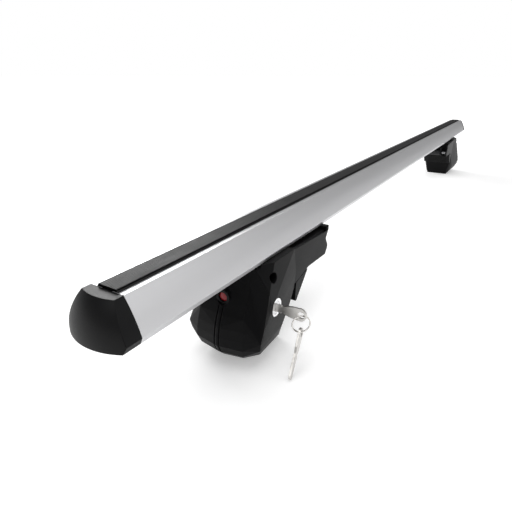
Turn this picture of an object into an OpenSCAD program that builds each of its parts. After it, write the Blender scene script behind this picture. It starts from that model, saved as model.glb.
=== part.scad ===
// Roof rack crossbar with clamping feet for raised side rails, in millimetres.
// The origin is the middle of the load strip's top face. X runs along the bar, Z is up.
// Each foot is drawn in its own frame: origin on the bar's underside at the foot's clamp
// line, X towards the middle of the bar, and heights below the bar negative.

/* [Bar] */
// Length of the aluminium bar between its end caps
bar_l = 1172; // [900:1:1400]
// Width across the bar's widest line
bar_w = 49.4; // [48:0.1:56]
// Width of the flat top
bar_top_w = 27.2; // [26:0.1:34]
// Height of the bar
bar_h = 28.3; // [27:0.1:36]
// Height of the widest line above the underside
belly_z = 4.4; // [3:0.1:6]
// Run of the bevel between the widest line and the underside
bevel = 2; // [1:0.1:3]
// Radius of the bulged flanks
flank_r = 90; // [80:1:200]
// Thickness of the walls and webs
bar_wall = 2.2; // [1.8:0.1:2.4]

/* [Slots and strip] */
// Mouth of the slot in the top
top_mouth = 9; // [8:0.1:10]
// Width of the channel below the top mouth
top_channel = 16.4; // [14:0.1:17]
// Depth of the channel below the top lips
top_channel_h = 5.5; // [4.5:0.1:6]
// Mouth of the slot in the underside
low_mouth = 8.6; // [7.5:0.1:10]
// Width of the channel above the lower mouth
low_channel = 20; // [17:0.1:22]
// Height of the channel above the lower lips
low_channel_h = 6; // [5.5:0.1:7]
// Width of the rubber strip
strip_w = 14.8; // [12:0.1:18]
// Height of the strip above the bar's top
strip_h = 1.8; // [1:0.1:3]
// Distance of the strip's ends from the bar's ends
strip_inset = 2; // [0:0.1:10]

/* [End caps] */
// Radius of the domed end face
cap_dome_r = 45.5; // [42:0.1:60]
// Reach of the dome's crown beyond the bar's end
cap_reach = 19.1; // [16:0.1:22]
// Length of the plugs inside the bar
cap_plug_l = 14; // [8:1:25]
// Clearance of the plugs in the bar
cap_plug_gap = 0.2; // [0.1:0.05:0.4]

/* [Foot form] */
// Distance of each foot's clamp line from the bar's end
foot_from_end = 156; // [130:1:300]
// Height of a foot below the bar's underside
foot_h = 86; // [80:0.5:100]
// Width across the foot's widest ridges
foot_w = 73; // [70:0.5:84]
// Reach of the foot's nose from the clamp line
nose_reach = 59.8; // [57:0.1:68]
// Reach of the body's rear edge from the clamp line
rear_reach = 24; // [23:0.1:26]
// Reach of the arm's tip from the clamp line
arm_reach = 95.6; // [92:0.1:110]
// Width across the arm's side plates
arm_w = 58.6; // [56:0.1:62]
// Thickness of the arm's side plates
plate_t = 3.4; // [2.5:0.1:4.5]
// Depth of the arm's lower edge below the bar
arm_depth = 30.2; // [29:0.1:34]
// Underside of the web that carries the bar
web_bottom = 12; // [10:0.1:13]
// Thickness of the saddle pad between foot and bar
pad_t = 3.5; // [2.5:0.1:4.5]
// Width of the saddle pad
pad_w = 44; // [36:0.5:46]
// Diameter of the round recess in each flank
flank_hole_d = 9.5; // [7:0.1:11]

/* [Cover] */
// Wall of the cover
skin = 2.6; // [2:0.1:3]
// Gap between the cover and the body
seam = 0.4; // [0.3:0.05:0.6]
// Width of the raised band between the two grooves
band_w = 3; // [2:0.1:5]
// Width of each groove
groove_w = 1.3; // [0.8:0.1:1.6]
// Depth of each groove
groove_d = 1; // [0.5:0.1:1.4]
// Depth of the red button's axis below the bar
button_z = 26; // [24:0.1:30]
// Diameter of the red button
button_d = 8.2; // [7:0.1:9]
// Outer diameter of the collar round the button
collar_d = 13; // [12.4:0.1:15]
// Travel of the button
button_travel = 2.5; // [1:0.1:3]

/* [Rail clamp] */
// Depth of the clamp screw's axis below the bar
screw_z = 46; // [44:0.1:48]
// Shank diameter of the clamp screw
screw_d = 8; // [6:0.1:8]
// Head diameter of the clamp screw
screw_head_d = 13; // [11:0.1:14]
// Head height of the clamp screw
screw_head_h = 8; // [6:0.1:8]
// Travel of the clamp screw
screw_travel = 3.1; // [2:0.1:3.5]
// Pivot of the swinging jaw along the bar
jaw_x = 42.5; // [41:0.1:44]
// Pivot of the swinging jaw below the bar
jaw_z = 27.3; // [26.5:0.1:28]
// Radius of the jaw's knuckles
knuckle_r = 8; // [7:0.1:8.5]
// Depth of the jaw's tip below the bar
jaw_depth = 55.6; // [54:0.1:60]
// Diameter of the jaw's pin
jaw_pin_d = 6; // [5:0.1:6.5]
// Thickness of the rubber pads on jaw and claw
grip_t = 2.2; // [1.5:0.1:3]
// Pivot of the claw back from the arm's tip
claw_back = 7.1; // [6.5:0.1:8]
// Pivot of the claw below the bar
claw_z = 22.2; // [21.5:0.1:23]
// Distance of the folded claw's toe from the jaw's pivot
claw_gap = 14; // [13.5:0.1:18]
// Width of the claw
claw_w = 26; // [20:0.1:28]
// Diameter of the claw's pin
claw_pin_d = 5; // [4:0.1:5.5]
// Clearance between parts that turn past each other
turn_gap = 0.4; // [0.3:0.05:0.6]
// Radial clearance of a shaft in its bore
run_gap = 0.05; // [0.02:0.01:0.08]

/* [Slot fastening] */
// Offset of the slot bolt from the clamp line
bolt_x = -2; // [-3:0.1:-1]
// Diameter of the slot bolt
bolt_d = 6; // [5:0.1:6.5]
// Length of the slot nut along the bar
slot_nut_l = 30; // [20:1:40]

/* [Lock and keys] */
// Distance of the lock's bezel from the cover's edge
lock_from_seam = 0.9; // [0.7:0.1:1.5]
// Lock axis below the bar
lock_z = 40; // [39.5:0.1:41]
// Diameter of the lock's bright face
lock_d = 16.4; // [15:0.1:17]
// Diameter of the turning plug
plug_d = 11.4; // [10.5:0.1:12]
// Width of the black bezel round the lock
bezel = 2; // [1.5:0.1:2.5]
// Distance of the lock's face from the bar's middle plane
lock_face_y = 33.6; // [33.4:0.1:35]
// Length of a key's blade beyond its shoulder
blade_l = 20; // [18:0.1:22]
// Width of a key's blade
blade_w = 7; // [6:0.1:7.4]
// Thickness of a key
key_t = 2; // [1.6:0.1:2.2]
// Radius of a key's round head
head_r = 5.8; // [5.4:0.1:7]
// Diameter of the hole in a key's head
key_hole_d = 6.2; // [6:0.1:6.6]
// Distance of a key's hole from its shoulder
key_hole_l = 18.5; // [16:0.1:20]
// Distance of the key's shoulder from the lock's face
key_stand_off = 4.9; // [2:0.1:6]
// Radius of the key ring's centre line
ring_r = 7.6; // [7.2:0.1:9]
// Thickness of the key ring's wire
ring_wire = 1.5; // [1:0.1:1.6]
// Turn of the key ring about the vertical
ring_turn = 40; // [30:1:50]
// Turn of the spare key about the vertical
spare_turn = 10; // [5:1:20]

/* [Hidden] */

// Smoothness of round features
$fn = 64;
// Overshoot of a cut past the face it leaves through
over = 1;
// Length that is longer than any foot
far = 300;
// Thickness of the slices that a lofted form is hulled from
slice = 0.01;
// Height of the bar's underside in the part's frame
underside = -strip_h - bar_h;

// Half width at which the bulb is flush with the arm's plates, as a fraction of half of foot_w
FLUSH = arm_w / foot_w;
// Levels of the foot's bulb, from the bar down. Heights are fractions of foot_h, places
// towards the nose are fractions of nose_reach, and widths of half of foot_w.
// Each row holds the height, the nose at the middle, the crease and its half width,
// the ridge and its half width, the rear edge as a fraction of rear_reach, and its half width.
LEVELS = [
    [0.00, 0.570, 0.545, 0.47, 0.260, FLUSH, 0.83, FLUSH],
    [0.14, 0.680, 0.650, 0.54, 0.270, FLUSH, 0.92, FLUSH],
    [0.30, 0.786, 0.750, 0.59, 0.320, 0.830, 1.00, FLUSH],
    [0.46, 0.903, 0.853, 0.605, 0.480, 0.930, 0.88, FLUSH],
    [0.58, 0.965, 0.900, 0.62, 0.735, 1.000, 0.58, 0.820],
    [0.68, 0.990, 0.922, 0.638, 0.820, 1.015, 0.20, 0.840],
    [0.77, 0.998, 0.930, 0.640, 0.800, 0.975, -0.20, 0.860],
    [0.86, 0.945, 0.880, 0.59, 0.690, 0.870, -0.24, 0.790],
    [0.94, 0.825, 0.765, 0.48, 0.580, 0.720, 0.08, 0.690],
    [1.00, 0.700, 0.630, 0.37, 0.450, 0.580, 0.22, 0.590]
];
// Line where the cover meets the body, in the same fractions of nose_reach and foot_h
SEAM_LINE = [
    [0.535, 0.00], [0.50, 0.16], [0.485, 0.30], [0.495, 0.40], [0.495, 0.48],
    [0.712, 0.58], [0.798, 0.68], [0.778, 0.77], [0.690, 0.86], [0.640, 1.10]
];

foot_x = bar_l / 2 - foot_from_end;
half_arm = arm_w / 2;
// Gap between the bar's underside and what slides along under it
roof_gap = 0.5;
// Inner faces of the arm's side plates
bay = half_arm - plate_t;
// Half width of the slot that holds the clamp screw and the slot bolt
well = 12;
// Front wall of that slot
well_front = -8;
well_bottom = 54;
claw_x = arm_reach - claw_back;
claw_l = claw_x - jaw_x - claw_gap;
claw_knuckle_r = 6.4;
// Lugs that carry the jaw's pin
lug_outer = 19.8;
lug_r = 6.8;
// Underside of the slot nut rests on the lower lips
lip_top = bar_wall;
washer_t = 1.5;
washer_d = 11.4;
bolt_head_d = 10;
bolt_head_h = 6;
// Rest position of the clamp screw's head, with its travel left in front of the seat
screw_seat = 21.8 - nose_reach;
clamp_nut_t = 6.5;
clamp_nut_w = 13;
thrust_d = 12;
thrust_t = 5;
thrust_dome_r = 14;
neck_d = 5;
neck_l = 3;
// Jaw outline: back face, tip and front face
jaw_back = 25.2;
jaw_shoulder = jaw_z + 9;
jaw_tip_w = 2.4;
// Lower edge of the arm's plates, from the body's rear edge to the end of the jaw's knuckle
PLATE_EDGE = [[rear_reach, -jaw_shoulder + 0.6], [jaw_x + knuckle_r, -arm_depth + 0.8]];
// Underside of the pad's tip and top of the plates below it
neck = pad_t + 1.5;
// Depth to which the grip is let in
grip_sunk = 1.5;
// The jaw's front face, from where it leaves the knuckle down to the tip
face_top = [jaw_x + knuckle_r * 0.82, -jaw_z - knuckle_r * 0.5];
face_tip = [jaw_back + jaw_tip_w, -jaw_depth];
face_l = norm(face_tip - face_top);
face_turn = atan2(face_tip[1] - face_top[1], face_tip[0] - face_top[0]);
// Start of the jaw's rubber grip down its front face, clear of the lugs, and its length
grip_top = 6.5;
grip_l = face_l - grip_top - 2.5;
// Height of the collar above the nose
collar_rise = 1.4;
// Tab of the cover that the lock's cam holds
tab_t = 2.2;
tab_h = 8;
lock_l = 21;
tab_y = -lock_face_y + lock_l - 0.2;
cam_w = 7;
cam_r = 13.2;
cam_t = 2.2;
lock_x = seam_x(lock_z) + lock_d / 2 + bezel + lock_from_seam;
tab_end = lock_x + cam_w / 2 + 4;
slot_w = key_t + 0.3;
// Place of the hole in the key that is in the lock
hole_y = -(lock_face_y + key_stand_off + key_hole_l);
// Distance of the ring's wire from the middle of a key's hole
ring_drop = (key_hole_d - ring_wire) / 2 - 1.5;
// Lowest and highest point of the ring's centre line
ring_top = -lock_z - ring_drop;
ring_low = ring_top - 2 * ring_r;
// Lean of the spare key off the vertical, so that the corner of its tip rests on the ground.
// A key too short to reach the ground hangs straight down.
spare_far = ring_drop + key_hole_l + blade_l - 1.6;
spare_room = min(1, (foot_h + ring_low - 0.1) / norm([spare_far, blade_w / 2]));
spare_lean = spare_room < 1 ? atan2(blade_w / 2, spare_far) + acos(spare_room) : 0;

function level_z(row, inset) =
    let(z = -row[0] * foot_h, top = -roof_gap - inset, low = inset - foot_h)
    max(low, min(top, z));

function level_points(row, inset) =
    let(w = foot_w / 2)
    [
        [-row[1] * nose_reach + inset, 0],
        [-row[2] * nose_reach + inset, row[3] * w - inset / 2],
        [-row[4] * nose_reach + inset * 0.6, row[5] * w - inset],
        [row[6] * rear_reach, row[7] * w - inset]
    ];

function mirrored(points) =
    concat(points, [for (i = [len(points) - 1:-1:0]) if (points[i][1] > 0) [points[i][0], -points[i][1]]]);

// Place on the nose's middle line at a depth below the bar
function nose_x(depth) =
    -nose_reach * lookup(depth / foot_h, [for (row = LEVELS) [row[0], row[1]]]);

// Place of the cover's edge at a depth below the bar
function seam_x(depth) =
    -nose_reach * lookup(depth / foot_h, [for (p = SEAM_LINE) [p[1], p[0]]]);

// Centre of the circle of radius r through a and b, on the inner side of the flank
function flank_centre(a, b, r) =
    let(mid = (a + b) / 2, along = (b - a) / norm(b - a), half = norm(b - a) / 2)
    mid + sqrt(r * r - half * half) * [-along[1], along[0]];

module on_left() {
    translate([-foot_x, 0, underside]) children();
}

module on_right() {
    translate([foot_x, 0, underside]) rotate([0, 0, 180]) children();
}

// A flat outline of X and height, given its thickness across the bar from y0 to y1
module across(y0, y1) {
    translate([0, y1, 0]) rotate([90, 0, 0]) linear_extrude(height = y1 - y0) children();
}

// The same on both flanks, from y0 to y1 away from the middle
module both_flanks(y0, y1) {
    across(y0, y1) children();
    across(-y1, -y0) children();
}

// A round bar along the foot, from x0 to x1 at a depth below the bar
module along_x(d, x0, x1, depth) {
    translate([x0, 0, -depth]) rotate([0, 90, 0]) cylinder(d = d, h = x1 - x0);
}

// A round bar across the foot, from y0 to y1
module along_y(d, x, depth, y0, y1) {
    translate([x, y1, -depth]) rotate([90, 0, 0]) cylinder(d = d, h = y1 - y0);
}

module bar_outline(inset) {
    a = [bar_w / 2, belly_z];
    b = [bar_top_w / 2, bar_h];
    centre = flank_centre(a, b, flank_r);
    foot_half = bar_w / 2 - bevel;
    intersection() {
        polygon([
            [-foot_half + inset / 2, inset], [foot_half - inset / 2, inset],
            [a[0] - inset, belly_z], [a[0] - inset, bar_h - inset],
            [-a[0] + inset, bar_h - inset], [-a[0] + inset, belly_z]
        ]);
        translate(centre) circle(r = flank_r - inset, $fn = 180);
        translate([-centre[0], centre[1]]) circle(r = flank_r - inset, $fn = 180);
    }
}

// Walls inside the bar that line both slots and tie them together, grown by gap
module bar_webs(gap) {
    top_z = bar_h - bar_wall - top_channel_h - bar_wall;
    low_z = 2 * bar_wall + low_channel_h;
    top_half = top_channel / 2 + bar_wall + gap;
    low_half = low_channel / 2 + bar_wall + gap;
    web_x = top_channel / 2;
    translate([-top_half, top_z - gap]) square([2 * top_half, bar_h]);
    translate([-low_half, -bar_h]) square([2 * low_half, bar_h + low_z + gap]);
    for (s = [-1, 1]) translate([s * web_x - bar_wall / 2 - gap, 0])
        square([bar_wall + 2 * gap, bar_h]);
}

module bar_slots() {
    channel_z = bar_h - bar_wall - top_channel_h;
    translate([-top_channel / 2, channel_z]) square([top_channel, top_channel_h]);
    translate([-top_mouth / 2, channel_z]) square([top_mouth, bar_h]);
    translate([-low_channel / 2, lip_top]) square([low_channel, low_channel_h]);
    translate([-low_mouth / 2, -over]) square([low_mouth, lip_top + 2 * over]);
}

module bar_profile() {
    color("silver")
    translate([0, 0, underside]) rotate([90, 0, 90])
    linear_extrude(height = bar_l, center = true) difference() {
        bar_outline(0);
        difference() {
            bar_outline(bar_wall);
            bar_webs(0);
        }
        bar_slots();
    }
}

module load_strip() {
    stem = top_mouth - 0.4;
    barb = (top_mouth + top_channel) / 2;
    barb_h = 2;
    lip_z = bar_h - bar_wall;
    edge = 0.6;
    color("dimgray")
    translate([0, 0, underside]) rotate([90, 0, 90])
    linear_extrude(height = bar_l - 2 * strip_inset, center = true) {
        translate([0, bar_h]) polygon([
            [-strip_w / 2, 0], [strip_w / 2, 0], [strip_w / 2, strip_h - edge],
            [strip_w / 2 - edge, strip_h], [edge - strip_w / 2, strip_h], [-strip_w / 2, strip_h - edge]
        ]);
        translate([-stem / 2, lip_z - barb_h]) square([stem, bar_wall + barb_h]);
        translate([0, lip_z - barb_h]) polygon([
            [-stem / 2, 0], [stem / 2, 0], [barb / 2, barb_h], [-barb / 2, barb_h]
        ]);
    }
}

// End cap beyond the bar's left end, with the two plugs that hold it
module end_cap() {
    color([0.1, 0.1, 0.11])
    translate([-bar_l / 2, 0, underside]) {
        intersection() {
            translate([-2 * cap_reach, 0, 0]) rotate([90, 0, 90])
                linear_extrude(height = 2 * cap_reach) bar_outline(0);
            translate([cap_dome_r - cap_reach, 0, 0]) sphere(r = cap_dome_r, $fn = 96);
        }
        rotate([90, 0, 90]) linear_extrude(height = cap_plug_l) difference() {
            bar_outline(bar_wall + cap_plug_gap);
            bar_webs(cap_plug_gap);
            square([top_channel, 4 * bar_h], center = true);
        }
    }
}

// The bulb of a foot as one convex form, set in from its surface by inset
module bulb(inset) {
    hull() for (row = LEVELS)
        translate([0, 0, level_z(row, inset)])
            linear_extrude(height = slice) polygon(mirrored(level_points(row, inset)));
}

// Everything on the nose's side of the seam, moved back by gap
module nose_side(gap) {
    line = [for (p = SEAM_LINE) [-p[0] * nose_reach - gap, -p[1] * foot_h]];
    across(-far, far) polygon(concat(
        [[-far, over], [line[0][0], over]], line, [[-far, -1.1 * foot_h]]));
}

// Side view of the arm's plates, with the round end about the claw's pivot
module plate_outline() {
    end_r = claw_back - 1.2;
    polygon([
        [-nose_reach * 0.2, -roof_gap - 0.3], [8, -roof_gap - 0.3], [claw_x - 2, -neck],
        [arm_reach - 1.2, -neck], [claw_x + 0.8, -claw_z + end_r + 3.4],
        [claw_x + end_r - 0.4, -claw_z + 2], [claw_x + end_r - 0.4, -claw_z - 2],
        [claw_x + 1.4, -arm_depth], PLATE_EDGE[1], PLATE_EDGE[0], [-nose_reach * 0.2, -jaw_shoulder]
    ]);
    translate([claw_x, -claw_z]) circle(r = end_r);
}

// A lug that hangs from the web round a pivot
module lug_outline(x, z, r) {
    translate([x, -z]) circle(r = r);
    translate([x - r, -z]) square([2 * r, z - web_bottom + over]);
}

module foot_body() {
    cut_low = jaw_shoulder + far;
    color([0.13, 0.13, 0.14])
    difference() {
        union() {
            difference() {
                bulb(0);
                nose_side(-seam);
            }
            bulb(skin + seam);
            both_flanks(bay, half_arm) plate_outline();
            translate([-nose_reach * 0.3, -bay - over, -web_bottom])
                cube([nose_reach * 0.3 + claw_x, 2 * (bay + over), web_bottom - pad_t]);
            both_flanks(well, lug_outer) lug_outline(jaw_x, jaw_z, lug_r);
            both_flanks(claw_w / 2 + turn_gap, claw_w / 2 + 5) lug_outline(claw_x, claw_z, claw_knuckle_r);
            both_flanks(claw_w / 2 + 6, bay + over) translate([jaw_x + 14, -arm_depth + 3])
                square([22, arm_depth - 3 - web_bottom + over]);
            along_y(lock_d + 2 * bezel, lock_x, lock_z, -lock_face_y + 0.4, -20);
        }
        // Room for the saddle pad under the bar
        translate([-far, -pad_w / 2 - seam, -pad_t]) cube([2 * far, pad_w + 2 * seam, far]);
        // Well for the clamp screw and the slot bolt, open to the arm's bay
        translate([well_front, -well, -well_bottom])
            cube([far, 2 * well, well_bottom - web_bottom]);
        // Slot bolt
        translate([bolt_x, 0, -web_bottom - over]) cylinder(d = bolt_d + 0.6, h = far);
        // Clamp screw, its sunk head and its nut
        along_x(screw_d + 0.6, -far, far, screw_z);
        along_x(screw_head_d + 2, -far, screw_seat, screw_z);
        translate([well_front - clamp_nut_t, -clamp_nut_w / 2, -screw_z - clamp_nut_w / 2])
            cube([clamp_nut_t + over, clamp_nut_w, clamp_nut_w]);
        // Pocket behind the red button and its collar
        along_x(button_d + 2.4, -far, collar_back() + 12, button_z);
        along_x(collar_d + 1, -far, collar_back() + seam, button_z);
        // Lock, its cam and the cover's tab
        along_y(lock_d, lock_x, lock_z, -far, -lock_face_y + lock_l);
        along_y(2 * cam_r + 2, lock_x, lock_z, -lock_face_y + lock_l - over, -lock_face_y + lock_l + cam_t + 1);
        translate([-far, tab_y - seam, tab_top() - tab_h - seam])
            cube([far + well_front + over, tab_t + 2 * seam, tab_h + 2 * seam]);
        // Pin seats
        along_y(jaw_pin_d, jaw_x, jaw_z, -half_arm + 1.2, half_arm - 1.2);
        along_y(claw_pin_d, claw_x, claw_z, -bay - 1.6, bay + 1.6);
        // Round recesses in the flanks
        for (s = [-1, 1]) translate([-0.325 * nose_reach, s * half_arm, -0.148 * foot_h])
            rotate([90, 0, 0]) cylinder(d = flank_hole_d, h = 14, center = true);
    }
}

// Top of the cover's tab
function tab_top() = -lock_z + cam_r + 4.8;

// Inner end of the collar round the button
function collar_back() = nose_x(button_z) + skin + 1;

module cover() {
    nose = nose_x(button_z);
    groove_z = button_z + collar_d / 2;
    groove_low = foot_h * 0.89;
    hook_h = 4;
    color([0.12, 0.12, 0.13])
    difference() {
        union() {
            intersection() {
                difference() {
                    bulb(0);
                    bulb(skin);
                }
                nose_side(0);
            }
            // Collar round the button
            along_x(collar_d, nose - collar_rise, collar_back(), button_z);
            // Tab for the lock, from the skin inwards, which ends in a hook that the cam catches
            intersection() {
                difference() {
                    translate([-far, tab_y, tab_top() - tab_h]) cube([far + tab_end, tab_t, tab_h]);
                    translate([-far, tab_y - over, tab_top() - tab_h - over])
                        cube([far + tab_end - 3, tab_t + 2 * over, tab_h - hook_h + over]);
                }
                bulb(skin / 2);
            }
        }
        along_x(collar_d, -far, nose - collar_rise, button_z);
        along_x(button_d + 0.3, -far, 0, button_z);
        along_x(button_d + 2.4, collar_back(), 0, button_z);
        // Two grooves down the middle of the nose
        intersection() {
            difference() {
                for (s = [-1, 1]) translate([-far, s * (band_w + groove_w) / 2 - groove_w / 2, -groove_low])
                    cube([far, groove_w, groove_low - groove_z]);
                translate([-far, -band_w / 2 - groove_w, -groove_low])
                    cube([far, band_w + 2 * groove_w, groove_w]);
                bulb(groove_d);
            }
            nose_side(0);
        }
    }
}

module red_button() {
    crown = nose_x(button_z) - 0.7;
    dome_r = 12;
    color("red")
    difference() {
        intersection() {
            union() {
                along_x(button_d, crown - over, collar_back() + 7, button_z);
                along_x(button_d + 1.6, collar_back() + 0.3, collar_back() + 1.5, button_z);
            }
            translate([crown + dome_r, 0, -button_z]) sphere(r = dome_r);
        }
        // Slots that leave the stem as four springy fingers
        translate([collar_back() + 3, -far / 2, -button_z - 0.6]) cube([far, far, 1.2]);
        translate([collar_back() + 3, -0.6, -button_z - far / 2]) cube([far, 1.2, far]);
    }
}

module saddle_pad() {
    lip_l = 6;
    front = seam_x(0) + seam + 0.6;
    color([0.07, 0.07, 0.07])
    difference() {
        union() {
            translate([front, -pad_w / 2, -pad_t]) cube([claw_x - front, pad_w, pad_t]);
            // Block as wide as the plates that ends the pad at the arm's tip
            translate([claw_x, -half_arm, -neck]) cube([arm_reach - 0.6 - claw_x, arm_w, neck]);
            translate([claw_x, -bay + 0.1, over - web_bottom + 0.1])
                cube([lip_l, 2 * bay - 0.2, web_bottom - over - 0.1]);
        }
        translate([bolt_x, 0, -far]) cylinder(d = bolt_d + 0.6, h = 2 * far);
    }
}

module slot_nut() {
    nut_h = low_channel_h - 1;
    color("gray")
    difference() {
        union() {
            translate([bolt_x - slot_nut_l / 2, -low_channel / 2 + 0.5, lip_top])
                cube([slot_nut_l, low_channel - 1, nut_h]);
            translate([bolt_x - slot_nut_l / 2, -low_mouth / 2 + 0.4, 0.4])
                cube([slot_nut_l, low_mouth - 0.8, lip_top]);
        }
        translate([bolt_x, 0, -over]) cylinder(d = bolt_d + 2 * run_gap, h = far);
    }
}

module slot_bolt() {
    head_top = -web_bottom - washer_t;
    color("gray")
    difference() {
        union() {
            translate([bolt_x, 0, head_top - bolt_head_h]) cylinder(d = bolt_head_d, h = bolt_head_h);
            translate([bolt_x, 0, head_top - over]) cylinder(d = bolt_d, h = over - head_top + low_channel_h);
        }
        translate([bolt_x, 0, head_top - bolt_head_h - over])
            cylinder(d = 5.8, h = 3 + over, $fn = 6);
    }
}

module bolt_washer() {
    color("gray")
    translate([bolt_x, 0, -web_bottom - washer_t]) difference() {
        cylinder(d = washer_d, h = washer_t);
        translate([0, 0, -over]) cylinder(d = bolt_d + 0.4, h = washer_t + 2 * over);
    }
}

module clamp_nut() {
    color("gray")
    difference() {
        translate([well_front - clamp_nut_t, -clamp_nut_w / 2 + 0.1, -screw_z - clamp_nut_w / 2 + 0.1])
            cube([clamp_nut_t, clamp_nut_w - 0.2, clamp_nut_w - 0.2]);
        along_x(screw_d + 2 * run_gap, -far, far, screw_z);
    }
}

// Tip of the clamp screw, just short of the thrust pad's floor
function screw_tip() = jaw_back - turn_gap - thrust_t + neck_l;

module clamp_screw() {
    head = screw_seat - screw_travel - 0.4;
    color("gray")
    difference() {
        union() {
            along_x(screw_head_d, head - screw_head_h, head, screw_z);
            along_x(screw_d, head - over, screw_tip() - neck_l - 0.2, screw_z);
            along_x(neck_d, head, screw_tip(), screw_z);
        }
        translate([head - screw_head_h - over, 0, -screw_z]) rotate([0, 90, 0])
            cylinder(d = 6.9, h = 4 + over, $fn = 6);
    }
}

module thrust_pad() {
    front = jaw_back - turn_gap;
    color("goldenrod")
    difference() {
        intersection() {
            along_x(thrust_d, front - thrust_t, front, screw_z);
            translate([front - thrust_dome_r, 0, -screw_z]) sphere(r = thrust_dome_r);
        }
        along_x(neck_d + 2 * run_gap, front - thrust_t - over, front - thrust_t + neck_l + 0.1, screw_z);
    }
}

// Side view of the jaw: a wedge that hangs from its knuckle
module jaw_outline() {
    polygon([
        face_top, face_tip, [jaw_back + 0.6, -jaw_depth], [jaw_back - 0.5, -jaw_depth + 1.6],
        [jaw_back + 0.4, -jaw_shoulder - 0.6], [jaw_x - knuckle_r * 0.8, -jaw_z - 4],
        [jaw_x, -jaw_z]
    ]);
}

// A place on the jaw's front face, at a distance down from its top
module on_face(at) {
    translate(face_top) rotate(face_turn) translate([at, 0]) children();
}

module jaw() {
    low_left = PLATE_EDGE[0] - [0, turn_gap];
    // Lower by what the swing lifts this end
    low_right = PLATE_EDGE[1] - [0, turn_gap + 0.15 * knuckle_r];
    color([0.11, 0.11, 0.12])
    difference() {
        union() {
            across(-half_arm + 0.1, half_arm - 0.1) jaw_outline();
            along_y(2 * knuckle_r, jaw_x, jaw_z, -bay + turn_gap, bay - turn_gap);
        }
        // The wide part of the wedge stays below the edge of the body's plates
        both_flanks(bay - turn_gap, half_arm + over)
            polygon([low_left, low_right, [far, low_right[1]], [far, far], [low_left[0], far]]);
        // Room for the body's lugs
        along_y(2 * knuckle_r + 2, jaw_x, jaw_z, -lug_outer - turn_gap, lug_outer + turn_gap);
        along_y(jaw_pin_d + 2 * run_gap, jaw_x, jaw_z, -half_arm + 1, half_arm - 1);
        across(-21.05, 21.05) on_face(grip_top) translate([-0.05, -grip_sunk])
            square([grip_l + 0.1, far]);
    }
}

module jaw_grip() {
    ribs = 5;
    pitch = grip_l / ribs;
    color([0.06, 0.06, 0.06])
    across(-21, 21) on_face(grip_top) translate([0, -grip_sunk]) difference() {
        square([grip_l, grip_t]);
        for (i = [0:ribs - 1]) translate([(i + 0.5) * pitch - 0.6, grip_t - 0.7]) square([1.2, 2]);
    }
}

module jaw_pin() {
    color("gray")
    along_y(jaw_pin_d, jaw_x, jaw_z, -half_arm + 1.6, half_arm - 1.6);
}

module rail_pads() {
    color([0.06, 0.06, 0.06])
    both_flanks(claw_w / 2 + 6, bay - 0.1) translate([jaw_x + 14, -arm_depth - 0.4])
        square([22, 3.4]);
}

// Side view of the folded claw: an arm that ends in a hooked toe
module claw_outline() {
    thick = 8.4;
    low = -claw_z - 4.6;
    tip = claw_x - claw_l;
    polygon([
        [claw_x - 2, -claw_z], [claw_x - 2, low], [tip + 3, low], [tip, low + 3],
        [tip, low + thick + 2], [tip + 3, low + thick + 2.6], [tip + 7, low + thick],
        [claw_x - 4, low + thick]
    ]);
}

module claw() {
    color("gray")
    difference() {
        union() {
            across(-claw_w / 2, claw_w / 2) claw_outline();
            along_y(2 * claw_knuckle_r, claw_x, claw_z, -claw_w / 2, claw_w / 2);
        }
        along_y(claw_pin_d + 2 * run_gap, claw_x, claw_z, -far, far);
        claw_seat(claw_w / 2 - 2.95);
    }
}

// Seat of the rubber grip in the claw's inner face
module claw_seat(y) {
    face = -claw_z - 4.6 + 8.4;
    across(-y, y) translate([claw_x - claw_l + 8, face - grip_t]) square([13, grip_t]);
}

module claw_grip() {
    color([0.06, 0.06, 0.06]) claw_seat(claw_w / 2 - 3);
}

module claw_pin() {
    color("gray")
    along_y(claw_pin_d, claw_x, claw_z, -bay - 1.4, bay + 1.4);
}

module lock_barrel() {
    color("gainsboro")
    difference() {
        along_y(lock_d - 0.1, lock_x, lock_z, -lock_face_y, -lock_face_y + lock_l);
        along_y(plug_d + 2 * run_gap, lock_x, lock_z, -far, far);
        translate([lock_x, -lock_face_y, -lock_z]) rotate([90, 0, 0])
            cylinder(d1 = plug_d, d2 = plug_d + 2, h = 1, center = true);
    }
}

module lock_plug() {
    tail = 4;
    color("silver")
    difference() {
        union() {
            along_y(plug_d, lock_x, lock_z, -lock_face_y + 0.4, -lock_face_y + lock_l);
            translate([lock_x - tail / 2, -lock_face_y + lock_l - over, -lock_z - tail / 2])
                cube([tail, cam_t + over, tail]);
        }
        translate([lock_x - slot_w / 2, -lock_face_y - over, -lock_z - blade_w / 2 - 0.15])
            cube([slot_w, blade_l - key_stand_off + over + 0.4, blade_w + 0.3]);
    }
}

module lock_cam() {
    hub = 11;
    y0 = -lock_face_y + lock_l + 0.1;
    color("gray")
    difference() {
        across(y0, y0 + cam_t - 0.1) translate([lock_x, -lock_z]) {
            circle(d = hub);
            translate([-cam_r, -cam_w / 2]) square([cam_r, cam_w]);
        }
        translate([lock_x - 2.05, -far, -lock_z - 2.05]) cube([4.1, far, 4.1]);
    }
}

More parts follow.
